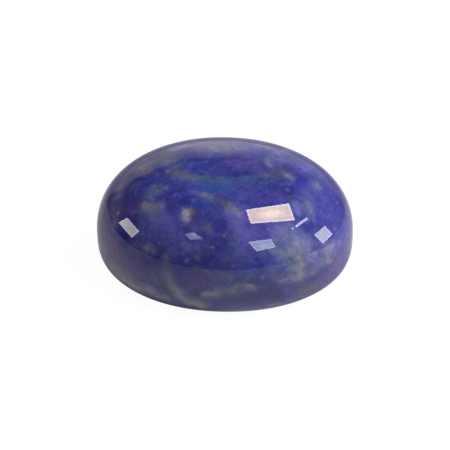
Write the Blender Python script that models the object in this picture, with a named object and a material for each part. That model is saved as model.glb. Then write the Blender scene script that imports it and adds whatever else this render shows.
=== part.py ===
"""A polished lapis lazuli cabochon: one oval stone with a high dome, rounded sides and a flat back.

Metres, +Z up. The origin is the centre of the flat back that the stone rests on, +X runs along its
length, and the side that faces the viewer is -Y.
"""

import math

import bmesh
import bpy

# Driving dimensions
LENGTH = 0.0200
WIDTH = 0.0150
DOME_HEIGHT = 0.0063  # from the girdle, where the stone is widest, to the crown
SIDE_HEIGHT = 0.0030  # from the flat back to the girdle

# Fullness of the curves: 2 is a plain ellipse, and more is squarer
PLAN_FULLNESS = 2.07
DOME_SPREAD = 2.60  # how far the crown runs out before it falls away
DOME_DROP = 2.22  # how steeply the dome comes down to the girdle
SIDE_SPREAD = 3.90
SIDE_DROP = 3.85

BACK_SHARE = 0.80  # how much of the length and of the width is ground flat

SEGMENTS = 96
DOME_RINGS = 26
SIDE_RINGS = 9
SHARP_ANGLE = math.radians(15.0)  # only the rim of the flat back is sharper

# The stone's finish
LAPIS_BLUE = (0.030, 0.034, 0.270, 1.0)
POLISH_ROUGHNESS = 0.08

MERGE_DISTANCE = 1.0e-6


def clear_scene():
    for obj in list(bpy.data.objects):
        bpy.data.objects.remove(obj, do_unlink=True)


def signed_power(value, power):
    return math.copysign(abs(value) ** power, value)


def dome_profile():
    """(radius, height) from the crown down to the girdle, the radius as a share of the girdle's."""
    points = []
    for ring in range(DOME_RINGS + 1):
        turn = 0.5 * math.pi * ring / DOME_RINGS
        radius = math.sin(turn) ** (2.0 / DOME_SPREAD)
        rise = max(math.cos(turn), 0.0) ** (2.0 / DOME_DROP)
        points.append((radius, SIDE_HEIGHT + DOME_HEIGHT * rise))
    return points


def side_profile():
    """(radius, height) below the girdle, down to the edge of the flat back."""
    back_turn = math.acos(BACK_SHARE ** (SIDE_SPREAD / 2.0))
    back_drop = math.sin(back_turn) ** (2.0 / SIDE_DROP)
    points = []
    for ring in range(1, SIDE_RINGS + 1):
        turn = back_turn * ring / SIDE_RINGS
        radius = math.cos(turn) ** (2.0 / SIDE_SPREAD)
        drop = math.sin(turn) ** (2.0 / SIDE_DROP) / back_drop
        points.append((radius, SIDE_HEIGHT * (1.0 - drop)))
    return points


def turn_profile(mesh, points):
    """The profile as a wire in the XZ plane, turned once about Z."""
    wire = [mesh.verts.new((radius, 0.0, height)) for radius, height in points]
    edges = [mesh.edges.new(pair) for pair in zip(wire, wire[1:])]
    bmesh.ops.spin(
        mesh,
        geom=wire + edges,
        cent=(0.0, 0.0, 0.0),
        axis=(0.0, 0.0, 1.0),
        angle=2.0 * math.pi,
        steps=SEGMENTS,
        use_merge=True,
    )
    bmesh.ops.remove_doubles(mesh, verts=mesh.verts, dist=MERGE_DISTANCE)


def fit_to_oval(mesh):
    """Moves each point of the turned shape out to the stone's oval plan."""
    for vert in mesh.verts:
        radius = math.hypot(vert.co.x, vert.co.y)
        angle = math.atan2(vert.co.y, vert.co.x)
        along = signed_power(math.cos(angle), 2.0 / PLAN_FULLNESS)
        across = signed_power(math.sin(angle), 2.0 / PLAN_FULLNESS)
        vert.co.x = 0.5 * LENGTH * radius * along
        vert.co.y = 0.5 * WIDTH * radius * across


def close_back(mesh):
    rim = [edge for edge in mesh.edges if edge.is_boundary]
    bmesh.ops.contextual_create(mesh, geom=rim)


def make_stone():
    shape = bmesh.new()
    turn_profile(shape, dome_profile() + side_profile())
    fit_to_oval(shape)
    close_back(shape)
    bmesh.ops.recalc_face_normals(shape, faces=shape.faces)
    mesh = bpy.data.meshes.new("cabochon")
    shape.to_mesh(mesh)
    shape.free()
    mesh.shade_smooth()
    mesh.set_sharp_from_angle(angle=SHARP_ANGLE)
    stone = bpy.data.objects.new("cabochon", mesh)
    bpy.context.scene.collection.objects.link(stone)
    stone.data.materials.append(make_polished_lapis())
    return stone


def make_polished_lapis():
    material = bpy.data.materials.new("polished_lapis")
    material.use_nodes = True
    shader = material.node_tree.nodes["Principled BSDF"]
    shader.inputs["Base Color"].default_value = LAPIS_BLUE
    shader.inputs["Roughness"].default_value = POLISH_ROUGHNESS
    shader.inputs["Metallic"].default_value = 0.0
    return material


clear_scene()
make_stone()
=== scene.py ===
import math

import bmesh
import bpy
import numpy as np
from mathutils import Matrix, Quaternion, Vector, noise
from mathutils.bvhtree import BVHTree
from mathutils.interpolate import poly_3d_calc


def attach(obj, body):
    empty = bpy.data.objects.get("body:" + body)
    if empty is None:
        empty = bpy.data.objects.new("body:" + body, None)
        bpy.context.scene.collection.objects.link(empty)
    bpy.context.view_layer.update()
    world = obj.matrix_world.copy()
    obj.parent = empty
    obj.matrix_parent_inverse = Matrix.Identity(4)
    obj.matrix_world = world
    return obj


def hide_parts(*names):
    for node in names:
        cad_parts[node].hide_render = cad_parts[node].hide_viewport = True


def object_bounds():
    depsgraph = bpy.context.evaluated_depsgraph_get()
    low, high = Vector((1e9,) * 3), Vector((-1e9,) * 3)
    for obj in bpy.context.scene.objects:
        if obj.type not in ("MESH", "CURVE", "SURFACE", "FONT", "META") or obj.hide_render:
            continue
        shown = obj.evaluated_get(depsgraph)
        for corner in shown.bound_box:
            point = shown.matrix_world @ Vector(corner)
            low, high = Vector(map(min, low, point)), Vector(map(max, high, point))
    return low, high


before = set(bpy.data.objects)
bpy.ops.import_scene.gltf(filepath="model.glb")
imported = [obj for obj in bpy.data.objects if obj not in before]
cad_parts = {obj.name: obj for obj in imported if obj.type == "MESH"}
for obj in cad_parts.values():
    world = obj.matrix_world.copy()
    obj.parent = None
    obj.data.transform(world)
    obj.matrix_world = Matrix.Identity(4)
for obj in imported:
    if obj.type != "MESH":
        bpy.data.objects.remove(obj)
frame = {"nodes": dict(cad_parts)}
cadLow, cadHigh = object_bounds()
print("frame loaded:", ", ".join(frame["nodes"]))

millimetre = 0.001


def linearColour(hexColour):
    # sRGB hex to the linear RGBA that Blender works in
    channels = [int(hexColour[i:i + 2], 16) / 255 for i in (1, 3, 5)]
    return [c / 12.92 if c <= 0.04045 else ((c + 0.055) / 1.055) ** 2.4 for c in channels] + [1.0]


def addNode(tree, kind, inputs=None, **settings):
    # one node with its settings; an input is linked to a node or socket, or set to a value
    node = tree.nodes.new(kind)
    for name, value in settings.items():
        setattr(node, name, value)
    for key, value in (inputs or {}).items():
        if isinstance(value, bpy.types.Node):
            value = value.outputs[0]
        if isinstance(value, bpy.types.NodeSocket):
            tree.links.new(value, node.inputs[key])
        else:
            node.inputs[key].default_value = value
    return node


# The camera stands where the photograph was taken from: in front, a little to the right, looking down.
photoView = {
    "size": 450,  # pixels each way
    "girdlePixel": (224.8, 229.1),  # where the middle of the stone's girdle is seen
    "pixelsPerMm": 12.80,  # at the girdle
    "distance": 180 * millimetre,  # from the girdle
    "raised": 40.0,  # degrees above the table
    "turned": 4.45,  # degrees to the right of the front
    "rolled": -1.0,  # degrees
    "girdleHeight": 3.0 * millimetre,
    "sensor": 36.0,
}


def makeCamera(view):
    raised = math.radians(view["raised"])
    turned = math.radians(view["turned"])
    back = Vector((math.sin(turned) * math.cos(raised), -math.cos(turned) * math.cos(raised), math.sin(raised)))
    data = bpy.data.cameras.new("photoCamera")
    camera = bpy.data.objects.new("photoCamera", data)
    bpy.context.scene.collection.objects.link(camera)
    camera.location = Vector((0, 0, view["girdleHeight"])) + back * view["distance"]
    camera.rotation_mode = "QUATERNION"
    level = (-back).to_track_quat("-Z", "Y")
    camera.rotation_quaternion = level @ Quaternion((0, 0, 1), math.radians(view["rolled"]))
    focalPixels = view["pixelsPerMm"] * view["distance"] / millimetre
    data.sensor_width = view["sensor"]
    data.lens = view["sensor"] * focalPixels / view["size"]
    data.shift_x = (view["size"] / 2 - view["girdlePixel"][0]) / view["size"]
    data.shift_y = (view["girdlePixel"][1] - view["size"] / 2) / view["size"]
    data.clip_start = 0.01
    data.clip_end = 20.0
    bpy.context.scene.camera = camera
    bpy.context.view_layer.update()
    return camera


camera = makeCamera(photoView)
focalPixels = photoView["pixelsPerMm"] * photoView["distance"] / millimetre
print("camera placed")

# The stone: an oval cabochon. Fullness 2 is a plain ellipse, and more is squarer.
stoneShape = {
    "Segments": 400,
    "Rings": 230,
    "Length": cadHigh.x - cadLow.x,
    "Width": cadHigh.y - cadLow.y,
    "Dome Height": cadHigh.z - photoView["girdleHeight"],
    "Side Height": photoView["girdleHeight"],
    "Plan Fullness": 2.07,
    "Dome Spread": 2.60,
    "Dome Drop": 2.22,
    "Side Spread": 3.90,
    "Side Drop": 3.85,
    "Back Share": 0.80,  # of the outline, ground flat
    "Rim Rounding": 0.40 * millimetre,
    "Unevenness": 0.004 * millimetre,  # what polishing by hand leaves
    "Unevenness Size": 4.0 * millimetre,
}
# Shares of the sphere's turn, from crown to back, that the dome and the sides take
stoneTurns = {"dome": 0.56, "side": 0.78}


def makeStoneTree(shape, turns, material):
    tree = bpy.data.node_groups.new("cabochonShape", "GeometryNodeTree")
    tree.interface.new_socket("Geometry", in_out="OUTPUT", socket_type="NodeSocketGeometry")
    sockets = {}
    for name, value in shape.items():
        kind = "NodeSocketInt" if isinstance(value, int) else "NodeSocketFloat"
        sockets[name] = tree.interface.new_socket(name, in_out="INPUT", socket_type=kind).identifier
    sizes = addNode(tree, "NodeGroupInput").outputs
    maths = "ShaderNodeMath"

    ball = addNode(tree, "GeometryNodeMeshUVSphere", {"Segments": sizes["Segments"], "Rings": sizes["Rings"], "Radius": 1.0})
    place = addNode(tree, "ShaderNodeSeparateXYZ", {0: addNode(tree, "GeometryNodeInputPosition")}).outputs
    angle = addNode(tree, maths, {0: place["Y"], 1: place["X"]}, operation="ARCTAN2")
    turn = addNode(tree, maths, {0: place["Z"]}, operation="ARCCOSINE")

    # the plan: a slightly full oval, as shares of half the length and half the width
    planPower = addNode(tree, maths, {0: 2.0, 1: sizes["Plan Fullness"]}, operation="DIVIDE")
    reach = []
    for function in ("COSINE", "SINE"):
        share = addNode(tree, maths, {0: angle}, operation=function)
        size = addNode(tree, maths, {0: share}, operation="ABSOLUTE")
        full = addNode(tree, maths, {0: size, 1: planPower}, operation="POWER")
        side = addNode(tree, maths, {0: share}, operation="SIGN")
        reach.append(addNode(tree, maths, {0: full, 1: side}, operation="MULTIPLY"))

    # the dome, from the crown to the girdle
    domeEnd = math.pi * turns["dome"]
    sideEnd = math.pi * turns["side"]
    domeTurn = addNode(tree, "ShaderNodeMapRange", {"Value": turn, 1: 0.0, 2: domeEnd, 3: 0.0, 4: math.pi / 2})
    spread = addNode(tree, maths, {0: 2.0, 1: sizes["Dome Spread"]}, operation="DIVIDE")
    drop = addNode(tree, maths, {0: 2.0, 1: sizes["Dome Drop"]}, operation="DIVIDE")
    domeSine = addNode(tree, maths, {0: domeTurn}, operation="SINE")
    domeCosine = addNode(tree, maths, {0: domeTurn}, operation="COSINE")
    domeRadius = addNode(tree, maths, {0: domeSine, 1: spread}, operation="POWER")
    domeRise = addNode(tree, maths, {0: domeCosine, 1: drop}, operation="POWER")

    # the sides: how deep a full curve would run before the flat back cuts it off
    backPower = addNode(tree, maths, {0: sizes["Back Share"], 1: sizes["Side Spread"]}, operation="POWER")
    backLeft = addNode(tree, maths, {0: 1.0, 1: backPower}, operation="SUBTRACT")
    sideRoot = addNode(tree, maths, {0: 1.0, 1: sizes["Side Drop"]}, operation="DIVIDE")
    spreadRoot = addNode(tree, maths, {0: 1.0, 1: sizes["Side Spread"]}, operation="DIVIDE")
    backDepth = addNode(tree, maths, {0: backLeft, 1: sideRoot}, operation="POWER")
    fullDepth = addNode(tree, maths, {0: sizes["Side Height"], 1: backDepth}, operation="DIVIDE")
    down = addNode(tree, "ShaderNodeMapRange", {"Value": turn, 1: domeEnd, 2: sideEnd, 3: 0.0, 4: 1.0})
    depth = addNode(tree, maths, {0: down, 1: backDepth}, operation="MULTIPLY")
    depthPower = addNode(tree, maths, {0: depth, 1: sizes["Side Drop"]}, operation="POWER")
    sideLeft = addNode(tree, maths, {0: 1.0, 1: depthPower}, operation="SUBTRACT")
    sideRadius = addNode(tree, maths, {0: sideLeft, 1: spreadRoot}, operation="POWER")

    # the back: in to the middle, on the same full curve, which the flat then cuts through a soft rim
    inward = addNode(tree, "ShaderNodeMapRange", {"Value": turn, 1: sideEnd, 2: math.pi, 3: 1.0, 4: 0.0})
    backRadius = addNode(tree, maths, {0: inward, 1: sizes["Back Share"]}, operation="MULTIPLY")
    backSpread = addNode(tree, maths, {0: backRadius, 1: sizes["Side Spread"]}, operation="POWER")
    backRest = addNode(tree, maths, {0: 1.0, 1: backSpread}, operation="SUBTRACT")
    backCurve = addNode(tree, maths, {0: backRest, 1: sideRoot}, operation="POWER")
    backFall = addNode(tree, maths, {0: backCurve, 1: fullDepth}, operation="MULTIPLY")
    belowBack = addNode(tree, maths, {0: sizes["Side Height"], 1: backFall}, operation="SUBTRACT")

    domePart = addNode(tree, maths, {0: domeRise, 1: sizes["Dome Height"]}, operation="MULTIPLY")
    sideUp = addNode(tree, maths, {0: 1.0, 1: down}, operation="SUBTRACT")
    sidePart = addNode(tree, maths, {0: sideUp, 1: sizes["Side Height"]}, operation="MULTIPLY")
    upper = addNode(tree, maths, {0: domePart, 1: sidePart}, operation="ADD")
    whole = addNode(tree, maths, {0: upper, 1: belowBack}, operation="ADD")
    height = addNode(tree, maths, {0: whole, 1: 0.0, 2: sizes["Rim Rounding"]}, operation="SMOOTH_MAX")
    domeSide = addNode(tree, maths, {0: domeRadius, 1: sideRadius}, operation="MULTIPLY")
    radius = addNode(tree, maths, {0: domeSide, 1: inward}, operation="MULTIPLY")
    shaped = []
    for share, size in zip(reach, ("Length", "Width")):
        half = addNode(tree, maths, {0: sizes[size], 1: 0.5}, operation="MULTIPLY")
        out = addNode(tree, maths, {0: half, 1: radius}, operation="MULTIPLY")
        shaped.append(addNode(tree, maths, {0: out, 1: share}, operation="MULTIPLY"))
    newPlace = addNode(tree, "ShaderNodeCombineXYZ", {"X": shaped[0], "Y": shaped[1], "Z": height})
    body = addNode(tree, "GeometryNodeSetPosition", {"Geometry": ball, "Position": newPlace})

    # hand polishing leaves the dome very slightly uneven
    here = addNode(tree, "GeometryNodeInputPosition")
    hereHeight = addNode(tree, "ShaderNodeSeparateXYZ", {0: here}).outputs["Z"]
    aboveBack = addNode(tree, "ShaderNodeMapRange", {
        "Value": hereHeight, 1: 0.2 * millimetre, 2: 1.5 * millimetre, 3: 0.0, 4: 1.0}, interpolation_type="SMOOTHSTEP")
    waves = addNode(tree, maths, {0: 1.0, 1: sizes["Unevenness Size"]}, operation="DIVIDE")
    wave = addNode(tree, "ShaderNodeTexNoise", {"Vector": here, "Scale": waves, "Detail": 0.0})
    waveDepth = addNode(tree, maths, {0: wave, 1: sizes["Unevenness"]}, operation="MULTIPLY")
    lossHere = addNode(tree, maths, {0: waveDepth, 1: aboveBack}, operation="MULTIPLY")
    inwards = addNode(tree, maths, {0: lossHere, 1: -1.0}, operation="MULTIPLY")
    normal = addNode(tree, "GeometryNodeInputNormal")
    offset = addNode(tree, "ShaderNodeVectorMath", {0: normal, "Scale": inwards}, operation="SCALE")
    polished = addNode(tree, "GeometryNodeSetPosition", {"Geometry": body, "Offset": offset})
    smooth = addNode(tree, "GeometryNodeSetShadeSmooth", {"Geometry": polished})
    real = addNode(tree, "GeometryNodeRealizeInstances", {"Geometry": smooth})
    finished = addNode(tree, "GeometryNodeSetMaterial", {"Geometry": real, "Material": material})
    addNode(tree, "NodeGroupOutput", {"Geometry": finished})
    return tree, sockets


def makeStone(shape, turns, material):
    tree, sockets = makeStoneTree(shape, turns, material)
    holder = bpy.data.objects.new("stoneHolder", bpy.data.meshes.new("stoneHolder"))
    bpy.context.scene.collection.objects.link(holder)
    modifier = holder.modifiers.new("cabochonShape", "NODES")
    modifier.node_group = tree
    for name, value in shape.items():
        modifier[sockets[name]] = value
    depsgraph = bpy.context.evaluated_depsgraph_get()
    mesh = bpy.data.meshes.new_from_object(holder.evaluated_get(depsgraph))
    mesh.name = "polishedStone"
    bpy.data.objects.remove(holder)
    stone = bpy.data.objects.new("polishedStone", mesh)
    bpy.context.scene.collection.objects.link(stone)
    return stone


lapis = bpy.data.materials.new("polished lapis lazuli")
stone = makeStone(stoneShape, stoneTurns, lapis)
print("stone made:", len(stone.data.vertices), "points")

stoneTree = BVHTree.FromPolygons([v.co for v in stone.data.vertices], [p.vertices for p in stone.data.polygons])


def lookThrough(pixel):
    # the place and the smooth normal of the stone that the photograph shows at a pixel
    across = (pixel[0] - photoView["girdlePixel"][0]) / focalPixels
    down = (pixel[1] - photoView["girdlePixel"][1]) / focalPixels
    ray = camera.matrix_world.to_quaternion() @ Vector((across, -down, -1)).normalized()
    place, flatNormal, face, distance = stoneTree.ray_cast(camera.location, ray)
    corners = [stone.data.vertices[i] for i in stone.data.polygons[face].vertices]
    weights = poly_3d_calc([c.co for c in corners], place)
    normal = sum((c.normal * w for c, w in zip(corners, weights)), Vector()).normalized()
    return place, normal, ray


# Where the photograph shows each mineral: how much of it, how wide (pixels) and along which pixels.
# The pixels are looked up on the stone, so a mark lies on its surface and keeps its shape from any side. Some marks
# along the rim and on the right shoulder hold painted light too, as said where they stand.
minerals = {
    "deepLazurite": {
        "colour": "#2f2f88",
        "marks": {
            "backGapLeft": (0.45, 8, [(182, 155), (189, 156)]),
            "backGap": (0.75, 5, [(224, 158), (236, 158)]),
            "backGapRight": (0.4, 6, [(253, 154.5), (266, 154.5)]),
            "backNotch": (0.6, 5, [(153, 167), (159, 166)]),
            "rightBack": (0.75, 6, [(303, 177), (312, 179)]),
            "middle": (0.25, 10, [(205, 212), (215, 220)]),
            "besideEye": (0.35, 2.5, [(270, 188), (274, 188)]),
            "veinLeftSide": (0.5, 4.5, [(174, 265), (179, 272)]),
            "veinLowerSide": (0.4, 3.5, [(160, 284), (164, 288)]),
            "rightLow": (0.35, 6, [(317, 277), (304, 285), (288, 284)]),
            "leftFoot": (0.65, 5, [(153, 254), (164, 257)]),
            "crownBack": (0.4, 4.5, [(234, 173), (246, 173)]),
            "betweenWindows": (0.45, 5, [(260, 233), (269, 235)]),
            "crownMiddle": (0.3, 5, [(206, 208), (212, 211)]),
            "crownDash": (0.3, 4, [(256, 194)]),
        },
    },
    "seaLazurite": {
        "colour": "#3a58b8",
        "marks": {
            "glow": (0.6, 8, [(206, 188), (222, 190)]),
            "glowRight": (0.1, 7, [(238, 189), (250, 188)]),
            "tealZone": (0.25, 6, [(203, 183), (222, 184)]),
            "underCloud": (0.5, 5, [(199, 204.5), (204, 206)]),
            "backLeft": (0.35, 7, [(186, 168), (197, 169)]),
            "frontRight": (0.2, 9, [(268, 258), (276, 262)]),
            "byRightCloud": (0.35, 4, [(293, 240)]),
            "rightLow": (0.2, 5, [(312, 271)]),
            "frontLow": (0.15, 6, [(238, 270), (250, 269)]),
            "frontMiddle": (0.25, 6, [(210, 272), (218, 277)]),
        },
    },
    "brightLazurite": {
        "colour": "#3a40bc",
        "marks": {
            "rightBack": (0.45, 5.5, [(296, 180), (301, 185)]),
            "crownLeft": (0.4, 6, [(196, 189), (204, 190)]),
            "byChalk": (0.35, 6, [(184, 200), (194, 204)]),
            "leftBack": (0.35, 6, [(161, 184), (167, 190)]),
            "besideStreak": (0.35, 5, [(311, 206), (313, 212)]),
            "crownRight": (0.15, 7, [(255, 191), (275, 192)]),
            "backLeft": (0.3, 6, [(157, 167), (163, 168)]),
            "underCloud": (0.4, 5, [(281, 243), (287, 247)]),
            "backVeilLeft": (0.3, 7, [(182, 152), (195, 150)]),
            "backVeilRight": (0.25, 7, [(256, 150), (272, 152)]),
            "veinGapBlue": (0.3, 4, [(275, 251), (279, 256)]),
            "diamondFootBlue": (0.4, 4, [(322, 246), (328, 250)]),
        },
    },
    "slateLazurite": {
        "colour": "#30356a",
        "marks": {
            "lowerFront": (0.6, 7, [(226, 299), (244, 299), (262, 298), (276, 295)]),
            "underBranch": (0.6, 4, [(191, 293), (197, 294)]),
            "besideVein": (0.6, 3.5, [(164, 285), (168, 289)]),
            "leftBrow": (0.35, 8, [(122, 203), (132, 206)]),
            "frontLow": (0.35, 5, [(208, 249), (214, 250)]),
            "rightLow": (0.5, 4.5, [(310, 266), (314, 270)]),
            "crownRight": (0.3, 4, [(257, 179), (267, 179)]),
            "leftEdge": (0.3, 4, [(107, 197), (107, 204)]),
            "veinShade": (0.3, 2.5, [(203, 176), (210, 177)]),
            "crownMiddle": (0.25, 4, [(222, 216)]),
            "rightEdge": (0.3, 4, [(341, 200), (343, 210)]),
            "crownBack": (0.4, 4, [(238, 174), (247, 174)]),
            "veinInnerShade": (0.4, 3.5, [(169, 286), (172, 290)]),
            "lowerRightShade": (0.4, 5, [(249, 285), (255, 285)]),
            "topCentreShade": (0.25, 7, [(214, 147), (219, 149)]),
            "leftFootDark": (0.4, 5, [(137, 248), (140, 252)]),
        },
    },
    "milkyLazurite": {
        "colour": "#8c91cc",
        "marks": {
            "underDiamond": (0.55, 4.5, [(323, 247), (330, 245)]),
            "rightPatch": (0.2, 5, [(310, 257), (316, 260)]),
            "cloudTop": (0.5, 6, [(275, 228), (285, 227), (296, 231)]),
            "cloudLeft": (0.55, 5, [(277, 238), (285, 242)]),
            "cloudMiddle": (0.4, 5, [(276, 253), (289, 251)]),
            "cloudFoot": (0.35, 4.5, [(282, 262), (288, 264)]),
            "besideMain": (0.5, 4.5, [(297, 206), (299, 213)]),
            "front": (0.4, 7, [(238, 220), (242, 230), (242, 239), (250, 234)]),
            "crownLow": (0.2, 6, [(196, 228), (204, 226)]),
            "frontLeft": (0.25, 6, [(190, 247), (198, 248)]),
            "leftCloudLow": (0.4, 5.5, [(155, 217), (162, 219)]),
            "eyeCloudLow": (0.35, 5, [(151, 196), (157, 192)]),
            "underVein": (0.4, 4, [(177, 175), (184, 178), (194, 181)]),
            "backLeft": (0.3, 5, [(169, 163), (175, 165)]),
            "lowFront": (0.2, 8, [(228, 258), (240, 257)]),
            "leftLow": (0.2, 7, [(141, 227), (138, 239)]),
            "cloudSide": (0.6, 5, [(302, 239), (312, 245)]),
            "crownStreak": (0.3, 3.2, [(196, 192), (202, 194)]),
            "frontRightLow": (0.25, 6, [(273, 268), (274, 276), (284, 280)]),
            "frontRight": (0.2, 6, [(264, 253)]),
            "backRight": (0.45, 4.5, [(279, 153), (288, 149.5), (298, 153)]),
            "backRightLow": (0.25, 4.5, [(271, 157), (276, 159)]),
            "backMiddle": (0.2, 6, [(240, 166), (256, 167)]),
            "rightRimPatch": (0.4, 4, [(335, 244), (335, 251)]),
            "besideDiamond": (0.3, 4, [(335.5, 230)]),
            "leftCloudFoot": (0.2, 5, [(145, 215)]),
            "streakTop": (0.25, 4, [(307, 194)]),
            "diamondFootPale": (0.2, 4.5, [(321, 246)]),
            "cloudBlue": (0.3, 4.5, [(290, 238), (298, 250), (304, 249)]),
            "topRightPale": (0.2, 5, [(313, 187)]),
            "leftBandTop": (0.18, 5, [(122, 192)]),
            "veinGapPale": (0.3, 4, [(275, 251), (283, 256)]),
        },
    },
    "violetLazuriteAndSideLight": {
        "colour": "#6a62c6",
        "marks": {
            "leftMiddle": (0.5, 9, [(164, 220), (172, 226)]),
            "leftSpot": (0.35, 3, [(154.5, 226)]),
            "crown": (0.4, 7, [(232, 212), (238, 214)]),
            "crownSpot": (0.55, 4.5, [(243, 216)]),
            "front": (0.45, 9, [(240, 222), (244, 230), (252, 235)]),
            "frontRight": (0.35, 7, [(268, 229), (276, 230)]),
            "backStreak": (0.4, 4, [(229, 161), (240, 161.5)]),
            "backStreakRight": (0.4, 4, [(246, 162), (254, 162)]),
            "rightBack": (0.3, 8, [(292, 163), (302, 170)]),
            "rightSpot": (0.4, 3, [(305, 170)]),
            # the right shoulder and rim: partly the stone's own violet and partly painted light, lighter where the
            # window light falls from the right
            "rightShoulder": (0.4, 20, [(320, 200), (330, 215)]),
            "rightRim": (0.2, 9, [(343, 228), (344, 240)]),
            "rightPatch": (0.45, 6, [(311, 258), (318, 260)]),
            "frontDot": (0.45, 3, [(211, 234)]),
            "besideChalk": (0.3, 5, [(214, 212)]),
            "frontLow": (0.3, 5.5, [(239, 238), (243, 242)]),
            "leftFront": (0.3, 9, [(154, 234), (168, 238)]),
            "underCloud": (0.3, 4, [(282, 245)]),
            "frontMiddle": (0.25, 7, [(182, 243), (196, 246)]),
            "windowTopHaze": (0.25, 5, [(272, 199), (280, 199)]),
        },
    },
    "plumLazuriteAndRimReflection": {
        "colour": "#7a5690",
        "marks": {
            # plum lazurite; the marks that run along the outline (leftRim and backRim here, and rightRim, rightRimLow,
            # leftUpperRim and leftLowRim below) are a painted reflection: the greyer veil the polish shows at the
            # grazing rim
            "leftRim": (0.38, 12, [(103, 212), (102, 225), (105, 243)]),
            "backRim": (0.2, 14, [(185, 144), (205, 140.5), (224, 140), (245, 141), (262, 145)]),
            "leftLow": (0.5, 8, [(112, 247), (117, 256)]),
            "leftLowest": (0.35, 7, [(124, 262), (124, 270)]),
            "lowerLeft": (0.3, 8, [(136, 270), (146, 274)]),
            "leftBrow": (0.3, 9, [(122, 208), (133, 208)]),
            "leftUpper": (0.4, 5, [(126, 181), (118, 188)]),
            "backLeft": (0.5, 5, [(141, 168.5), (148, 166)]),
            "backCloud": (0.4, 10, [(199, 145), (206, 145)]),
            "backMiddle": (0.25, 9, [(232, 146)]),
            "speck": (0.3, 3, [(175, 194)]),
            "dash": (0.3, 1.8, [(177.5, 203), (177.5, 206)]),
            "frontDash": (0.2, 2.5, [(171, 250)]),
            "frontSmudge": (0.1, 6, [(203, 250), (210, 254)]),
            "frontLow": (0.12, 7, [(205, 268), (222, 270)]),
            "crownDash": (0.2, 3, [(252, 191), (256, 194)]),
            "crownDashRight": (0.15, 3.5, [(272, 193), (280, 195)]),
            "streakSide": (0.25, 2.5, [(298, 197)]),
            "blobSide": (0.3, 1.8, [(311, 181)]),
            "rightLow": (0.35, 7, [(322, 281), (331, 274)]),
            "rightEdge": (0.3, 7, [(338, 258), (336, 265)]),
            "lowerMiddle": (0.3, 7, [(192, 278), (205, 282)]),
            "backStreak": (0.28, 3.2, [(222, 161.5), (240, 161.5), (254, 162)]),
            # from here to leftUpperRim, and leftLowRim: a painted reflection along the outline, the greyer veil at the
            # grazing rim
            "rightRim": (0.12, 8, [(314, 165), (329, 179), (341, 196), (347, 210)]),
            "rightRimLow": (0.2, 6, [(349, 225), (348, 243), (341, 257)]),
            "leftUpperRim": (0.2, 9, [(107, 197), (116, 184), (129, 170), (147, 158)]),
            "frontFoot": (0.1, 6, [(156, 252), (168, 250)]),
            "leftLowRim": (0.3, 6, [(103, 252), (108, 262)]),
            "leftCloud": (0.3, 4, [(153, 209), (154, 214)]),
            "leftFoot": (0.25, 6, [(133, 248), (140, 252)]),
        },
    },
    "diopside": {
        "colour": "#5c7a8c",
        "marks": {
            "vein": (0.5, 4, [(186, 176.5), (200, 178), (214, 180), (224, 181)]),
            "veinDark": (0.4, 2, [(206, 177.5)]),
            "veinDarkRight": (0.4, 2, [(222, 179)]),
            "veinRight": (0.4, 3.5, [(246, 178), (260, 177)]),
            "underVein": (0.2, 6, [(204, 184), (216, 185)]),
            "backLeft": (0.35, 5, [(168, 163), (175, 166)]),
            "backCloud": (0.4, 9, [(212, 145), (224, 145)]),
            "leftCloud": (0.45, 5.5, [(144, 207), (150, 208), (153, 211)]),
            "leftCloudTail": (0.25, 5, [(150, 213), (158, 213)]),
            "eyeCloud": (0.35, 4, [(147, 194), (153, 190), (159, 190)]),
            "leftSmudge": (0.2, 4.5, [(133, 187)]),
            "crownCloud": (0.35, 4.5, [(206, 198), (214, 201)]),
            "frontLeftCloud": (0.35, 4.5, [(146, 249), (150, 248)]),
            "leftFront": (0.1, 9, [(157, 234), (170, 237)]),
            "veinTop": (0.45, 5.5, [(165, 262), (167, 272), (170, 280)]),
            "rightCloud": (0.4, 6, [(275, 246), (285, 248)]),
            "rightCloudLow": (0.4, 4.5, [(289, 260), (297, 259)]),
            "cloudArc": (0.35, 4, [(282, 254), (288, 257)]),
            "rightPatch": (0.4, 3.5, [(327, 255)]),
            "rightStreak": (0.3, 5.5, [(305, 200), (309, 207), (311, 214)]),
            "lowerSpot": (0.4, 3, [(154, 277.5)]),
            "lowerFront": (0.4, 6, [(222, 291), (228, 290)]),
            "frontStreak": (0.3, 2.5, [(195, 267), (206, 270.5), (218, 275)]),
            "veinEnd": (0.3, 4, [(272, 180), (277, 179)]),
            "crownGreen": (0.25, 5, [(236, 184), (248, 184)]),
            "crownGreenRight": (0.2, 4, [(262, 187)]),
            "topRightGreen": (0.2, 5, [(313, 186)]),
        },
    },
    "olivePyriteHaze": {
        "colour": "#75706c",
        "marks": {
            "backPatch": (0.55, 8, [(165, 157), (172, 155.5)]),
            "veinLeft": (0.5, 5, [(174, 171.5), (183, 173)]),
            "leftPatch": (0.5, 5, [(140, 169.5), (147, 170)]),
            "leftPatchLow": (0.45, 3.5, [(150.5, 172)]),
            "veinRight": (0.5, 4, [(265, 173.5), (273, 173)]),
            "veinFarRight": (0.4, 4, [(281, 173), (291, 174)]),
            "backDash": (0.35, 2, [(167, 162.5)]),
            "eyeCloudDash": (0.4, 2, [(146.5, 193.5)]),
            "eyeCloudRing": (0.4, 2, [(154, 186.5), (160, 184), (164.5, 187), (161, 190.5)]),
            "chalkLeft": (0.5, 2.2, [(183.2, 216)]),
            "chalkRight": (0.4, 3, [(191.5, 209), (193, 218)]),
            "crownTan": (0.5, 2.8, [(222, 203.5), (227, 205)]),
            "frontDot": (0.55, 2.2, [(210.7, 228.5)]),
            "lowerTan": (0.5, 3.2, [(223, 275), (229, 276)]),
            "lowerRightEdge": (0.45, 8, [(303, 292), (312, 289)]),
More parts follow.
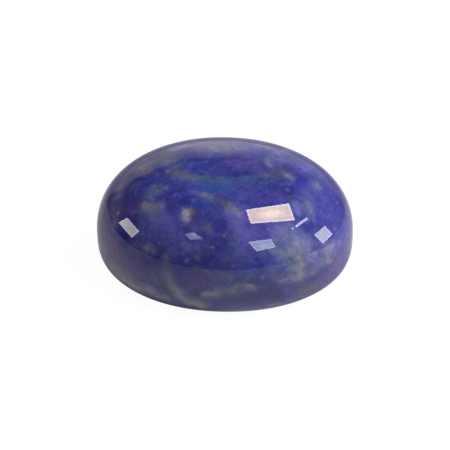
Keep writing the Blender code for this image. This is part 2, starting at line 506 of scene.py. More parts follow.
            "lowerLeftEdge": (0.3, 6, [(121, 275), (128, 280)]),
            "frontCloud": (0.2, 3.5, [(169, 255), (172, 253)]),
            "leftSmudge": (0.35, 4.5, [(133, 186)]),
            "veinMiddle": (0.35, 3.5, [(188, 176), (196, 177)]),
            "leftEdge": (0.35, 4.5, [(104, 248), (109, 260), (116, 268)]),
        },
    },
    "calcite": {
        "colour": "#a6a5b2",
        "marks": {
            "backCloud": (0.3, 8, [(202, 145.5), (212, 146), (224, 146), (236, 146)]),
            "backBand": (0.25, 3, [(214, 150.5), (230, 150.5)]),
            "backLeftBand": (0.25, 4, [(167, 151.5), (180, 147.5), (190, 145)]),
            "backRight": (0.1, 7, [(262, 147.5), (273, 150)]),
            "leftTopBand": (0.3, 4, [(142, 167), (150, 163.5)]),
            "notchSpot": (0.5, 2.4, [(167.5, 171)]),
            "backStreak": (0.35, 3, [(267, 161), (271, 166)]),
            "veinLight": (0.45, 3, [(287.5, 175.5), (291, 176.5)]),
            "rightBlob": (0.45, 3.6, [(316.5, 185), (318.5, 187.5)]),
            "eye": (0.3, 1.4, [(287.5, 189.2)]),
            "crownGrey": (0.3, 3, [(205, 195), (211, 197)]),
            "crownDot": (0.2, 2.2, [(195, 199.5)]),
            "crownCloud": (0.4, 3.6, [(228, 208), (234, 210.5), (239, 213)]),
            "leftCloud": (0.5, 4, [(145, 206), (150, 207)]),
            "leftCloudRight": (0.35, 3.2, [(157, 206.5), (161, 207)]),
            "eyeCloud": (0.45, 2.2, [(158.5, 190)]),
            "eyeCloudTop": (0.3, 2.2, [(154.5, 186.5)]),
            "eyeCloudTail": (0.35, 2.2, [(166, 186.5)]),
            "rightStreak": (0.3, 3.6, [(306.5, 203), (309.5, 210)]),
            "rightStreakEnd": (0.15, 4, [(312, 215)]),
            "rightCloudTop": (0.25, 4, [(280, 233), (288, 233)]),
            "cloudArc": (0.3, 3, [(273, 250.5), (281, 253.5), (288, 256.5)]),
            "cloudCore": (0.6, 5.2, [(298, 243), (301, 250)]),
            "coreBright": (0.45, 2.2, [(301, 248)]),
            "cloudSide": (0.5, 4.5, [(297, 257), (300, 262)]),
            "cloudBeige": (0.6, 2.2, [(302, 266)]),
            "cloudLow": (0.55, 5, [(293, 270), (299, 270), (304, 275), (297, 278), (292, 277)]),
            "cloudLowBright": (0.65, 2.6, [(298, 275.5)]),
            "rightPatch": (0.42, 5, [(328, 252), (330, 259), (324, 262)]),
            "rightPatchLow": (0.35, 2.8, [(330, 262.5)]),
            "rightPatchTop": (0.35, 4.5, [(325, 248), (331, 246)]),
            "rightRimSpot": (0.45, 2.6, [(339.5, 242)]),
            "rightDot": (0.45, 2.2, [(315.5, 253.5)]),
            "rightHaze": (0.35, 5, [(308, 252), (310, 258)]),
            "rightLowStreak": (0.25, 3.5, [(322, 263), (313, 268)]),
            "rightLowDot": (0.4, 2.4, [(312.5, 273)]),
            "lowDash": (0.4, 1.8, [(281, 280), (286, 277.5)]),
            "lowGrain": (0.35, 2.2, [(262.5, 277.5)]),
            "lowerStreak": (0.35, 3.6, [(232, 289.5), (242, 287), (252, 288)]),
            "lowerStreakEnd": (0.3, 2.4, [(246, 286.5), (251, 287)]),
            "lowerCentre": (0.15, 5.5, [(221, 290)]),
            "branch": (0.65, 3.8, [(206, 294.5), (216, 294.5)]),
            "veinMiddle": (0.3, 3.2, [(167.5, 273), (170, 281), (173, 287)]),
            "veinLower": (0.65, 4.4, [(174, 289), (180, 297), (188, 301.5)]),
            "veinFoot": (0.7, 4.2, [(190, 302), (203, 306)]),
            "edgeVein": (0.7, 5, [(112, 267), (119, 275.5), (128, 282.5), (138, 288)]),
            "edgeVeinCore": (0.5, 2.8, [(119, 275), (127, 281.5), (136, 287), (148, 290.5)]),
            "frontLeftCloud": (0.35, 3.8, [(148, 248), (151.5, 250)]),
            "frontCloud": (0.35, 2.8, [(166, 257)]),
            "frontDot": (0.15, 2.2, [(212, 247)]),
            "frontSpot": (0.1, 4.5, [(185, 246)]),
            "frontSpotLow": (0.35, 2.8, [(196, 258.5)]),
            "footDot": (0.3, 2.2, [(186.5, 261)]),
            "chalkHalo": (0.35, 3.6, [(186.8, 212.5), (186.8, 219)]),
            "leftShoulder": (0.2, 9, [(112, 205), (113, 216)]),
            "leftUpper": (0.3, 4.5, [(121, 188), (117, 196)]),
            "cloudLeftSide": (0.45, 4, [(288, 251), (292, 251)]),
            "edgeVeinRight": (0.6, 2.9, [(142, 289), (152, 292), (161, 296), (169, 298.5)]),
            "leftFootHaze": (0.3, 5, [(118, 270), (126, 275), (134, 281)]),
            "cloudFootPale": (0.2, 4, [(296, 276), (299, 279)]),
            "frontEdgePale": (0.35, 4, [(198, 303), (205, 304)]),
            "frontEdgeRight": (0.35, 2.6, [(271, 306), (277, 304.5)]),
            "leftBandPale": (0.25, 4.5, [(115, 222), (117, 228)]),
            "frontLeftPale": (0.35, 3.6, [(143, 285), (151, 290), (161, 297)]),
        },
    },
    "ironStain": {
        "colour": "#8a5a66",
        "marks": {
            "chalkSide": (0.6, 1.8, [(190.4, 212), (190.4, 215.5)]),
            "crownSpot": (0.22, 2.4, [(222, 200)]),
            "eyeSpot": (0.25, 1.7, [(160.3, 187)]),
            "leftCloudSpot": (0.2, 2.2, [(157, 204.5)]),
        },
    },
    "chalkCalcite": {
        "colour": "#e4d8e8",
        "marks": {
            "upper": (0.55, 1.9, [(186, 211.8)]),
            "lower": (0.5, 2.1, [(187.2, 214.6), (187.2, 218.4)]),
            "leftGrain": (0.6, 1.3, [(118.3, 212.2)]),
        },
    },
    "darkSpecks": {
        "colour": "#32336c",
        "marks": {
            "rightLine": (0.6, 1.2, [(335, 234), (325, 243.8), (311, 253)]),
            "eyeRing": (0.5, 1.6, [(283.5, 187.5), (287.5, 185.8), (291.5, 188), (291, 192), (287, 193.5), (283.5, 191)]),
            "backSpeck": (0.5, 2.2, [(278.5, 157)]),
            "notchSpeck": (0.5, 1.8, [(168, 173.6), (171, 173.8)]),
            "cloudHole": (0.55, 1.9, [(293.7, 273.5)]),
            "cloudHoleTop": (0.35, 2.2, [(289, 256), (293, 262)]),
            "lowerSpeck": (0.55, 1.8, [(156.5, 288)]),
            "lowerSmudge": (0.45, 2.5, [(151, 277)]),
            "underBranch": (0.45, 3, [(193, 294), (197, 295)]),
            "eyeCloudRing": (0.35, 1.8, [(155, 187), (158.5, 187.5)]),
            "crownDot": (0.4, 1.5, [(196, 258.5)]),
            "frontDot": (0.35, 1.5, [(227, 260.4), (234, 265)]),
            "leftCloudDot": (0.35, 1.4, [(151, 207)]),
        },
    },
}
# Small grains, each seen at one pixel
grains = {
    "paleGrain": [(328.5, 216), (337, 203), (268, 229.2), (224.3, 236), (159.5, 243), (263, 277.5), (233.8, 266),
                  (212.5, 247), (335, 229.5)],
    "pyriteGrain": [(253.8, 192), (226.5, 206), (196, 258.3), (151, 207), (210.7, 229), (319, 182.6), (223, 180),
                    (227, 260.4)],
}


def paintMarks(stone, minerals, pixelsPerMm):
    # each mineral's share at every point of the mesh, as an attribute of its name
    mesh = stone.data
    points = np.empty(len(mesh.vertices) * 3)
    mesh.vertices.foreach_get("co", points)
    points = points.reshape(-1, 3) / millimetre
    # a ragged edge: the marks are looked up from a slightly shaken place
    shaken = np.array([noise.noise_vector(Vector(p) * 1.0) for p in points]) * 0.20
    finer = np.array([noise.noise_vector(Vector(p) * 2.6) for p in points]) * 0.09
    seenFrom = points + shaken + finer
    for mineral, spec in minerals.items():
        rest = np.ones(len(points))
        for mark, (strength, width, pixels) in spec["marks"].items():
            spine = np.array([lookThrough(pixel)[0] for pixel in pixels]) / millimetre
            away = np.linalg.norm(seenFrom - spine[0], axis=1)
            for start, end in zip(spine, spine[1:]):
                run = end - start
                along = np.clip((seenFrom - start) @ run / (run @ run), 0, 1)
                away = np.minimum(away, np.linalg.norm(seenFrom - start - along[:, None] * run, axis=1))
            # soft from the middle out: half of it is left at the mark's width
            rest *= 1 - strength * np.exp2(-(away * pixelsPerMm / width) ** 2)
        attribute = mesh.attributes.new(mineral, "FLOAT", "POINT")
        attribute.data.foreach_set("value", 1 - rest)
    normals = np.empty(len(mesh.vertices) * 3)
    mesh.vertices.foreach_get("normal", normals)
    facing = normals.reshape(-1, 3) @ np.array(camera.location.normalized())
    hidden = np.clip((0.1 - facing) / 0.35, 0, 1)
    attribute = mesh.attributes.new("hiddenSide", "FLOAT", "POINT")
    attribute.data.foreach_set("value", hidden)


paintMarks(stone, minerals, photoView["pixelsPerMm"])
print("marks painted:", sum(len(m["marks"]) for m in minerals.values()))

# Polished lapis lazuli: opaque blue lazurite in fine grains, clouded with calcite and diopside and dusted
# with pyrite. The polish gives clear, dark-based reflections, and the softer calcite is a little duller.
lapisLook = {
    "ground": "#4648a0",
    "groundDark": "#37388c",
    "groundLight": "#5f5ebc",
    "groundGrey": "#55608f",
    "patchSize": 2.6,  # mm, slow changes of the blue
    "mottleSize": 0.95,  # mm, clouding
    "grainSize": 0.30,  # mm, lazurite grains, drawn coarser than the real ones so that they show
    "hazeSize": 1.5,  # mm, grey-green haze
    "cloudSize": 3.2,  # mm, clouds on the sides that the photograph doesn't show
    "edgeSize": 0.5,  # mm, wisps in the clouds
    "paleGrain": "#918ed2",
    "pyriteGrain": "#7c6f62",
    "grainCover": 0.5,
    "grainMetal": 0.4,  # how much a grain shows its metal through the blue
    "grainRadius": 0.08,  # mm
    "dustSize": 1.7,  # mm between the specks of dust pyrite
    "dustRadius": 0.045,  # mm
    "polish": 0.035,
    "calcitePolish": 0.12,
    "refraction": 1.5,
    "relief": 0.35,  # share of the bump
    "reliefHeight": 0.0010,  # mm, what the softer grains lose to the polish
}


def makeLapis(material, look, minerals, grains):
    material.use_nodes = True
    tree = material.node_tree
    maths, vectors, ranges, mixes = "ShaderNodeMath", "ShaderNodeVectorMath", "ShaderNodeMapRange", "ShaderNodeMix"
    shader = tree.nodes["Principled BSDF"]
    shader.inputs["IOR"].default_value = look["refraction"]
    here = addNode(tree, "ShaderNodeTexCoord").outputs["Object"]
    inMm = addNode(tree, vectors, {0: here, "Scale": 1 / millimetre}, operation="SCALE")

    # the blue ground: slow patches, clouding, grey-green haze and fine grains
    patch = addNode(tree, "ShaderNodeTexNoise", {"Vector": inMm, "Scale": 1 / look["patchSize"], "Detail": 2.0})
    mottle = addNode(tree, "ShaderNodeTexNoise", {
        "Vector": inMm, "Scale": 1 / look["mottleSize"], "Detail": 4.0, "Roughness": 0.62, "Distortion": 0.6})
    haze = addNode(tree, "ShaderNodeTexNoise", {
        "Vector": addNode(tree, vectors, {0: inMm, 1: (31, 17, 5)}, operation="ADD"),
        "Scale": 1 / look["hazeSize"], "Detail": 4.0, "Roughness": 0.6, "Distortion": 0.5})
    grain = addNode(tree, "ShaderNodeTexNoise", {"Vector": inMm, "Scale": 1 / look["grainSize"], "Detail": 2.0, "Roughness": 0.6})
    patchShare = addNode(tree, ranges, {"Value": patch, 1: 0.3, 2: 0.7}, interpolation_type="SMOOTHSTEP")
    toned = addNode(tree, mixes, {
        0: patchShare, 6: linearColour(look["groundDark"]), 7: linearColour(look["ground"])}, data_type="RGBA").outputs[2]
    mottleShare = addNode(tree, ranges, {"Value": mottle, 1: 0.48, 2: 0.72, 3: 0.0, 4: 0.9}, interpolation_type="SMOOTHSTEP")
    mottled = addNode(tree, mixes, {0: mottleShare, 6: toned, 7: linearColour(look["groundLight"])}, data_type="RGBA").outputs[2]
    hazeShare = addNode(tree, ranges, {"Value": haze, 1: 0.5, 2: 0.75, 3: 0.0, 4: 0.8}, interpolation_type="SMOOTHSTEP")
    colour = addNode(tree, mixes, {0: hazeShare, 6: mottled, 7: linearColour(look["groundGrey"])}, data_type="RGBA").outputs[2]

    # each mineral over the ground, in wisps
    edge = addNode(tree, "ShaderNodeTexNoise", {
        "Vector": inMm, "Scale": 1 / look["edgeSize"], "Detail": 4.0, "Roughness": 0.65, "Distortion": 0.4})
    wisps = addNode(tree, "ShaderNodeSeparateColor", {0: edge.outputs["Color"]}).outputs
    clouds = addNode(tree, "ShaderNodeTexNoise", {"Vector": inMm, "Scale": 1 / look["cloudSize"], "Detail": 4.0, "Roughness": 0.6})
    cloudShares = addNode(tree, "ShaderNodeSeparateColor", {0: clouds.outputs["Color"]}).outputs
    hidden = addNode(tree, "ShaderNodeAttribute", attribute_name="hiddenSide").outputs["Fac"]
    hiddenClouds = {
        "deepLazurite": (cloudShares[0], 0.5, 0.65, 0.5),
        "seaLazurite": (cloudShares[1], 0.52, 0.68, 0.4),
        "violetLazuriteAndSideLight": (cloudShares[2], 0.5, 0.65, 0.5),
        "diopside": (cloudShares[1], 0.58, 0.72, 0.5),
        "milkyLazurite": (cloudShares[0], 0.54, 0.7, 0.5),
        "calcite": (cloudShares[2], 0.54, 0.7, 0.65),
    }
    shares = {}
    for number, (mineral, spec) in enumerate(minerals.items()):
        share = addNode(tree, "ShaderNodeAttribute", attribute_name=mineral).outputs["Fac"]
        if mineral in hiddenClouds:
            source, start, full, most = hiddenClouds[mineral]
            cloud = addNode(tree, ranges, {"Value": source, 1: start, 2: full, 3: 0.0, 4: most}, interpolation_type="SMOOTHSTEP")
            share = addNode(tree, maths, {0: addNode(tree, maths, {0: cloud, 1: hidden}, operation="MULTIPLY"), 1: share}, operation="MAXIMUM")
        rough = addNode(tree, ranges, {"Value": wisps[number % 3], 1: 0.3, 2: 0.7, 3: 0.6, 4: 1.4})
        ragged = addNode(tree, maths, {0: share, 1: rough}, operation="MULTIPLY", use_clamp=True)
        shares[mineral] = ragged
        colour = addNode(tree, mixes, {0: ragged, 6: colour, 7: linearColour(spec["colour"])}, data_type="RGBA").outputs[2]

    # single grains of calcite and pyrite where the photograph shows them
    metal = None
    for kind, pixels in grains.items():
        nearest = None
        for pixel in pixels:
            centre = [c / millimetre for c in lookThrough(pixel)[0]]
            away = addNode(tree, vectors, {0: inMm, 1: centre}, operation="DISTANCE").outputs["Value"]
            nearest = away if nearest is None else addNode(tree, maths, {0: nearest, 1: away}, operation="MINIMUM").outputs[0]
        size = look["grainRadius"]
        cover = addNode(tree, ranges, {"Value": nearest, 1: size * 0.3, 2: size * 1.8, 3: look["grainCover"], 4: 0.0}, interpolation_type="SMOOTHSTEP")
        colour = addNode(tree, mixes, {0: cover, 6: colour, 7: linearColour(look[kind])}, data_type="RGBA").outputs[2]
        if kind == "pyriteGrain":
            metal = cover

    # pyrite dust
    dust = addNode(tree, "ShaderNodeTexVoronoi", {"Vector": inMm, "Scale": 1 / look["dustSize"]})
    dustReach = look["dustRadius"] / look["dustSize"]
    dustCover = addNode(tree, ranges, {"Value": dust.outputs["Distance"], 1: dustReach * 0.5, 2: dustReach * 1.5, 3: 0.6, 4: 0.0})
    colour = addNode(tree, mixes, {0: dustCover, 6: colour, 7: linearColour(look["pyriteGrain"])}, data_type="RGBA").outputs[2]
    ores = addNode(tree, maths, {0: metal, 1: dustCover}, operation="MAXIMUM")
    metallic = addNode(tree, maths, {0: ores, 1: look["grainMetal"]}, operation="MULTIPLY")

    # the grains make it all a little lighter and darker
    grainLight = addNode(tree, ranges, {"Value": grain, 1: 0.3, 2: 0.7, 3: 0.82, 4: 1.18})
    colour = addNode(tree, vectors, {0: colour, "Scale": grainLight}, operation="SCALE").outputs[0]

    tree.links.new(colour, shader.inputs["Base Color"])
    tree.links.new(metallic.outputs[0], shader.inputs["Metallic"])
    dull = addNode(tree, maths, {0: shares["calcite"], 1: look["calcitePolish"] - look["polish"], 2: look["polish"]}, operation="MULTIPLY_ADD")
    tree.links.new(dull.outputs[0], shader.inputs["Roughness"])

    # the polish cuts the softer calcite a little lower, and leaves the pyrite proud
    softer = addNode(tree, maths, {0: shares["calcite"], 1: -0.6, 2: grain}, operation="MULTIPLY_ADD")
    proud = addNode(tree, maths, {0: metallic, 1: softer}, operation="ADD")
    bump = addNode(tree, "ShaderNodeBump", {
        "Height": proud, "Distance": look["reliefHeight"] * millimetre, "Strength": look["relief"]})
    tree.links.new(bump.outputs[0], shader.inputs["Normal"])


makeLapis(lapis, lapisLook, minerals, grains)
print("lapis finished")

# The studio. The stone mirrors a pale sheet, a low backdrop, a dark room and its windows.
studio = {
    "ambient": 0.37,  # the room's even light, as a share of a white sky
    "bounce": 0.14,  # what the table sends up
    "key": {"turned": 90, "raised": 30, "distance": 500 * millimetre, "size": (0.6, 0.6), "strength": 1.08},
    "roomSize": 3000 * millimetre,
    "roomTone": "#181819",
    "surroundSize": 1000 * millimetre,  # the white that a low camera sees above the floor
    "sheetReach": (9.5, 10.6, 13, 19, 32),  # mm from the stone's middle along its length, less across it
    "sheetGlow": {  # how bright the sheet glows there, by degrees round from the front: painted light, brighter towards the window light on the right, and darker close to the stone, a painted shadow of the stone
        -180: (0.45, 0.6, 0.75, 0.85, 0.5), -130: (0.3, 0.5, 0.6, 0.62, 0.35), -105: (0.2, 0.4, 0.52, 0.62, 0.45),
        -75: (0.2, 0.45, 0.65, 0.8, 0.6), -45: (0.1, 0.5, 0.8, 0.6, 0.36), -15: (0.2, 0.6, 0.88, 0.66, 0.5),
        15: (0.7, 1.0, 0.85, 0.7, 0.6), 45: (0.5, 0.95, 0.95, 0.72, 0.7), 75: (0.3, 0.6, 0.95, 0.8, 0.7),
        105: (0.55, 0.75, 0.8, 0.8, 0.55), 130: (0.65, 0.75, 0.72, 0.68, 0.3), 150: (0.6, 0.75, 0.82, 0.95, 0.32),
        180: (0.45, 0.6, 0.75, 0.85, 0.5)},
    "sheetTints": ("#ffffff", "#fff5fa"),  # in front of the stone and behind it
    "sheetFade": 1.12,  # how far beyond its outline the sheet's glow ends
    "sheetCorners": [  # mm, the pale sheet's outline on the table
        (-58, -18), (-34, -30), (20, -35), (60, -30), (72, -16), (46, 4), (20, 13), (40, 42),
        (160, 200), (-200, 200), (-34, 27), (-28, 17), (-60, 17)],
    "backdropDistance": 200 * millimetre,
    "backdropStep": 8,  # pixels from its top edge to where it is at its full glow
    "backdropEdge": [  # pixels where its top is mirrored, how softly it ends there, its glow there and at the step
        (107, 198, 3, 0.5, 0.5), (110.5, 193, 4, 0.5, 0.5), (118, 190.5, 6, 0.5, 0.5), (125, 187.5, 6, 0.5, 0.55), (130, 183, 4, 0.55, 0.6), (137, 177.5, 3, 0.6, 0.65),
        (147, 174, 3, 0.65, 0.65), (153, 170, 3, 0.65, 0.65), (165, 166, 3, 0.65, 0.7), (172, 162, 3, 0.6, 0.75),
        (182, 159.5, 3, 0.55, 0.85), (200, 158.3, 2, 0.55, 1.0), (224, 158, 2, 0.55, 1.0), (245, 158.5, 2.5, 0.55, 1.0),
        (262, 161, 6, 0.55, 0.85), (290, 168, 10, 0.65, 0.8), (310, 178, 10, 0.65, 0.75), (325, 186, 8, 0.65, 0.65),
        (333, 191, 5, 0.6, 0.6)],
    "gleamDistance": 190 * millimetre,
    "gleam": [(166, 152), (180, 147.3), (202, 143.2), (230, 142), (250, 143.8), (266, 147), (282, 152)],
    "gleamWidth": 2.6,  # pixels
    "gleamGlow": 1.25,
    "windowDistance": 500 * millimetre,
    "cardDistance": 7 * millimetre,  # the left window is a small lit card close to the stone
    "windowFrame": 1.2,  # pixels, the paler edge
    # each window: the pixels of its mirrored corners, tint and brightness of its frame and its glass, and a
    # brighter place in the glass (where across and down, how far, tint and brightness)
    "windows": {
        "main": {
            "corners": [(246, 209.8), (288.8, 203.4), (294.8, 220.2), (250.9, 223.6)], "frame": ("#ffeee2", 19.0),
            "glass": ("#ffe1b4", 14.5), "core": (0.52, 0.46, 0.3, 0.3, "#ffedb4", 22.0)},
        "low": {
            "corners": [(248.3, 242), (271.2, 239), (275.6, 247), (257, 251.4)], "frame": ("#e8e9ff", 10.5),
            "glass": ("#f6ffff", 6.0), "core": (0.48, 0.68, 0.2, 0.25, "#f8ffff", 8.6)},
        "left": {
            "corners": [(118.6, 222.6), (127.3, 217.8), (139.2, 231.4), (131.8, 237.6)], "frame": ("#fbf8ff", 8.4),
            "glass": ("#fff9e8", 6.2), "core": (0.45, 0.2, 0.35, 0.3, "#fff9ee", 7.4), "card": True},
        "diamond": {
            "corners": [(314, 235), (325, 225.8), (332.4, 234.4), (323, 243.4)], "frame": ("#dde2ff", 13.5),
            "glass": ("#faffee", 8.0), "core": (0.35, 0.3, 0.25, 0.25, "#faffee", 10.0)},
        "faint": {
            "corners": [(184, 234), (194, 232), (203.2, 239.2), (190, 239.8)], "frame": ("#bcc2ee", 4.5),
            "glass": ("#c4caee", 6.0), "core": (0.8, 0.3, 0.2, 0.25, "#e6e8ff", 8.5)},
        "strip": {
            "corners": [(294.8, 225.8), (306.6, 217.2), (308.4, 219.2), (296.4, 227.6)], "frame": ("#dcdfff", 13.0),
            "glass": ("#e2e6ff", 19.0), "core": (0.5, 0.5, 0.4, 0.4, "#e6eaff", 22.0)},
        "bead": {
            "corners": [(291.2, 227.4), (293.6, 227.2), (293.8, 229.4), (291.4, 229.6)], "frame": ("#dcdcff", 10.0),
            "glass": ("#dcdcff", 14.0), "core": (0.5, 0.5, 0.4, 0.4, "#dcdcff", 14.0)},
    },
}


def mirroredPlace(pixel, distance):
    # what the stone mirrors at a pixel, that far away
    place, normal, ray = lookThrough(pixel)
    return place + ray.reflect(normal) * distance


def makeGlow(name, hexColour, strength):
    material = bpy.data.materials.new(name)
    material.use_nodes = True
    tree = material.node_tree
    tree.nodes.clear()
    glow = addNode(tree, "ShaderNodeEmission", {"Color": linearColour(hexColour), "Strength": strength})
    addNode(tree, "ShaderNodeOutputMaterial", {"Surface": glow})
    return material


def makeStage(name, corners, faces, materials, seenBy, faceMaterials=None):
    # a stage piece that only some kinds of ray can see
    mesh = bpy.data.meshes.new(name)
    mesh.from_pydata([tuple(c) for c in corners], [], faces)
    for material in materials:
        mesh.materials.append(material)
    if faceMaterials:
        mesh.polygons.foreach_set("material_index", faceMaterials)
    stagePiece = bpy.data.objects.new(name, mesh)
    bpy.context.scene.collection.objects.link(stagePiece)
    stagePiece.visible_camera = "camera" in seenBy
    stagePiece.visible_glossy = "glossy" in seenBy
    stagePiece.visible_diffuse = "diffuse" in seenBy
    stagePiece.visible_shadow = "shadow" in seenBy
    return stagePiece


def makeMatte(name, hexColour, glow):
    material = bpy.data.materials.new(name)
    material.use_nodes = True
    shader = material.node_tree.nodes["Principled BSDF"]
    shader.inputs["Base Color"].default_value = linearColour(hexColour)
    shader.inputs["Roughness"].default_value = 1.0
    shader.inputs["Specular IOR Level"].default_value = 0.0
    shader.inputs["Emission Color"].default_value = (1, 1, 1, 1)
    shader.inputs["Emission Strength"].default_value = glow
    return material


def makeFading(name, strength=1.0):
    # a glow that follows the attribute "glow" of its mesh
    material = bpy.data.materials.new(name)
    material.use_nodes = True
    tree = material.node_tree
    tree.nodes.clear()
    share = addNode(tree, "ShaderNodeAttribute", attribute_name="glow").outputs["Color"]
    glow = addNode(tree, "ShaderNodeEmission", {"Color": share, "Strength": strength})
    addNode(tree, "ShaderNodeOutputMaterial", {"Surface": glow})
    return material


def giveGlow(stagePiece, values):
    # the glow at each corner of a mesh: a number is a neutral light
    colours = [value if isinstance(value, list) else [value, value, value, 1.0] for value in values]
    glow = stagePiece.data.attributes.new("glow", "FLOAT_COLOR", "POINT")
    glow.data.foreach_set("color", np.array(colours).ravel())


def makeFloor(studio):
    reach = 8.0
    corners = [(-reach, -reach, 0), (reach, -reach, 0), (reach, reach, 0), (-reach, reach, 0)]
    makeStage("floor", corners, [(0, 1, 2, 3)], [makeMatte("pale floor", "#666666", 0.95)], ["camera"])
    under = [(x, y, -millimetre) for x, y, z in corners]
    makeStage("bounce", under, [(0, 1, 2, 3)], [makeGlow("bounce", "#ffffff", studio["bounce"])], ["diffuse"])


def makeSheet(studio):
    # rings around the stone out to the sheet's outline, with its glow at each point: the table's light painted into the
    # glow, with a painted shadow of the stone close to it
    corners = [Vector(corner) for corner in studio["sheetCorners"]]
    bearings = sorted([math.atan2(c.x, -c.y) for c in corners] + [math.radians(3 * k) for k in range(-60, 60)])
    rings = (0.01, 8.8, 9.5, 10, 10.6, 11.5, 13, 16, 19, 24, 32, 1000)
    tables = [np.array(column) for column in zip(*studio["sheetGlow"].values())]
    frontTint, backTint = [np.array(linearColour(tint)) for tint in studio["sheetTints"]]
    places, values = [], []
    for bearing in bearings:
        towards = Vector((math.sin(bearing), -math.cos(bearing)))
        outline = 1000.0
        for start, end in zip(corners, corners[1:] + corners[:1]):
            side = end - start
            cross = towards.cross(side)
            if abs(cross) > 1e-9:
                reach, share = start.cross(side) / cross, start.cross(towards) / cross
                if reach > 0 and -1e-6 <= share <= 1 + 1e-6:
                    outline = min(outline, reach)
        oval = math.hypot(towards.x, towards.y * stoneShape["Length"] / stoneShape["Width"])
        atReach = [np.interp(math.degrees(bearing), list(studio["sheetGlow"]), table) for table in tables]
        tint = frontTint + (backTint - frontTint) * (1 - math.cos(bearing)) / 2
        for ring in rings:
            reach = min(ring / oval, outline)
            places.append(towards.to_3d() * reach * millimetre)
            values.append(list(tint * np.interp(reach * oval, studio["sheetReach"], atReach)))
        places.append(towards.to_3d() * outline * studio["sheetFade"] * millimetre)
        values.append(0.0)
    wide = len(rings) + 1
    count = len(bearings)
    faces = [(c * wide + r, c * wide + r + 1, (c + 1) % count * wide + r + 1, (c + 1) % count * wide + r)
             for c in range(count) for r in range(wide - 1)]
    giveGlow(makeStage("sheet", places, faces, [makeFading("pale sheet")], ["glossy"]), values)


def makeBackdrop(studio):
    rows = [[], [], [], []]
    for x, y, softness, edge, full in studio["backdropEdge"]:
        top = mirroredPlace((x, y + softness / 2), studio["backdropDistance"])
        below = mirroredPlace((x, y - softness / 2), studio["backdropDistance"])
        step = mirroredPlace((x, y - softness / 2 - 4), studio["backdropDistance"])
        step = below.lerp(step, studio["backdropStep"] / 4)
        step.z = max(step.z, 0)
        rows[0].append(Vector((step.x, step.y, -millimetre)))
        rows[1].append(step)
        rows[2].append(below)
        rows[3].append(top)
    count = len(rows[0])
    faces = [(r * count + c, r * count + c + 1, (r + 1) * count + c + 1, (r + 1) * count + c) for r in (0, 1, 2) for c in range(count - 1)]
    backdrop = makeStage("backdrop", sum(rows, []), faces, [makeFading("backdrop")], ["glossy"])
    edges = [edge for x, y, softness, edge, full in studio["backdropEdge"]]
    fulls = [full for x, y, softness, edge, full in studio["backdropEdge"]]
    giveGlow(backdrop, fulls * 2 + edges + [0.0] * count)
    rows = [[mirroredPlace((x, y + side * studio["gleamWidth"]), studio["gleamDistance"]) for x, y in studio["gleam"]] for side in (-0.7, 0, 0.7)]
    count = len(rows[0])
    faces = [(r * count + c, r * count + c + 1, (r + 1) * count + c + 1, (r + 1) * count + c) for r in (0, 1) for c in range(count - 1)]
    gleam = makeStage("gleam", sum(rows, []), faces, [makeFading("gleam", studio["gleamGlow"])], ["glossy"])
    ends = [0.45 if c in (0, count - 1) else 0.75 for c in range(count)]
    middle = [0.6 if c in (0, count - 1) else 1.0 for c in range(count)]
    giveGlow(gleam, ends + middle + ends)


def makeRoom(name, radius, tone, seenBy):
    mesh = bpy.data.meshes.new(name)
    shape = bmesh.new()
    bmesh.ops.create_icosphere(shape, subdivisions=4, radius=radius)
    shape.to_mesh(mesh)
    shape.free()
    corners = [v.co.copy() for v in mesh.vertices]
    faces = [list(p.vertices) for p in mesh.polygons]
    makeStage(name, corners, faces, [makeGlow(name, tone, 1.0)], seenBy)


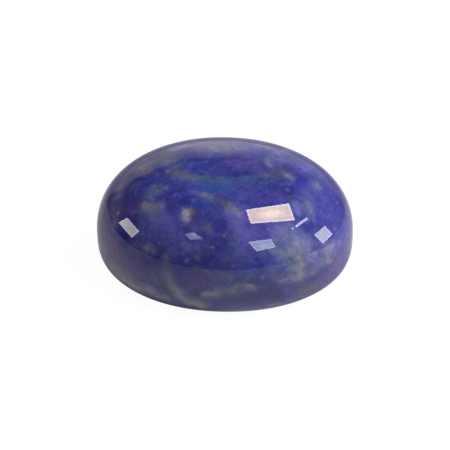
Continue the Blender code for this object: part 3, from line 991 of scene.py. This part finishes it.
def makeWindow(name, window, studio):
    # a grid of mirrored places between the four corner pixels, so its mirror image has straight sides
    corners = [Vector(corner) for corner in window["corners"]]
    across = (corners[1] - corners[0]).length
    down = (corners[3] - corners[0]).length
    wide, high = int(across * 1.5) + 4, int(down * 1.5) + 4
    frameTint, frameLight = window["frame"]
    glassTint, glassLight = window["glass"]
    coreAcross, coreDown, coreWide, coreHigh, coreTint, coreLight = window["core"]
    frameGlow = np.array(linearColour(frameTint)) * frameLight
    glassGlow = np.array(linearColour(glassTint)) * glassLight
    coreGlow = np.array(linearColour(coreTint)) * coreLight
    distance = studio["cardDistance"] if window.get("card") else studio["windowDistance"]
    places, glows = [], []
    for row in range(high):
        for column in range(wide):
            u, v = column / (wide - 1), row / (high - 1)
            pixel = corners[0].lerp(corners[1], u).lerp(corners[3].lerp(corners[2], u), v)
            places.append(mirroredPlace(pixel, distance))
            inside = min(min(u, 1 - u) * across, min(v, 1 - v) * down)
            framed = min(max(1.5 - inside / studio["windowFrame"], 0), 1)
            cored = math.exp(-((u - coreAcross) / coreWide) ** 2 - ((v - coreDown) / coreHigh) ** 2)
            clouded = 1 + 0.16 * noise.noise(Vector((u * across, v * down, 0)) * 0.35)
            glass = (glassGlow + (coreGlow - glassGlow) * cored) * clouded
            glows.append(list(glass + (frameGlow - glass) * framed))
    faces = [(r * wide + c, r * wide + c + 1, (r + 1) * wide + c + 1, (r + 1) * wide + c)
             for r in range(high - 1) for c in range(wide - 1)]
    giveGlow(makeStage(name + "Window", places, faces, [makeFading(name + " glass")], ["glossy"]), glows)


def makeLight(studio):
    world = bpy.data.worlds.new("studio")
    world.use_nodes = True
    world.node_tree.nodes["Background"].inputs["Color"].default_value = (1, 1, 1, 1)
    world.node_tree.nodes["Background"].inputs["Strength"].default_value = studio["ambient"]
    bpy.context.scene.world = world
    key = studio["key"]
    turned, raised = math.radians(key["turned"]), math.radians(key["raised"])
    towards = Vector((math.sin(turned) * math.cos(raised), -math.cos(turned) * math.cos(raised), math.sin(raised)))
    data = bpy.data.lights.new("windowLight", "AREA")
    data.shape = "RECTANGLE"
    data.size, data.size_y = key["size"]
    data.energy = key["strength"] * (math.pi * key["distance"]) ** 2  # a strength of 1 lights white as much as a white sky
    light = bpy.data.objects.new("windowLight", data)
    light.location = towards * key["distance"]
    light.rotation_euler = towards.to_track_quat("Z", "Y").to_euler()
    light.visible_glossy = light.visible_camera = False
    bpy.context.scene.collection.objects.link(light)


makeFloor(studio)
makeSheet(studio)
makeBackdrop(studio)
makeRoom("darkRoom", studio["roomSize"], studio["roomTone"], ["glossy"])
makeRoom("whiteSurround", studio["surroundSize"], "#ffffff", ["camera"])
for name, window in studio["windows"].items():
    makeWindow(name, window, studio)
makeLight(studio)
bpy.context.scene.view_settings.view_transform = "Standard"
print("studio set up")

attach(stone, "root")
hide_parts("cabochon")
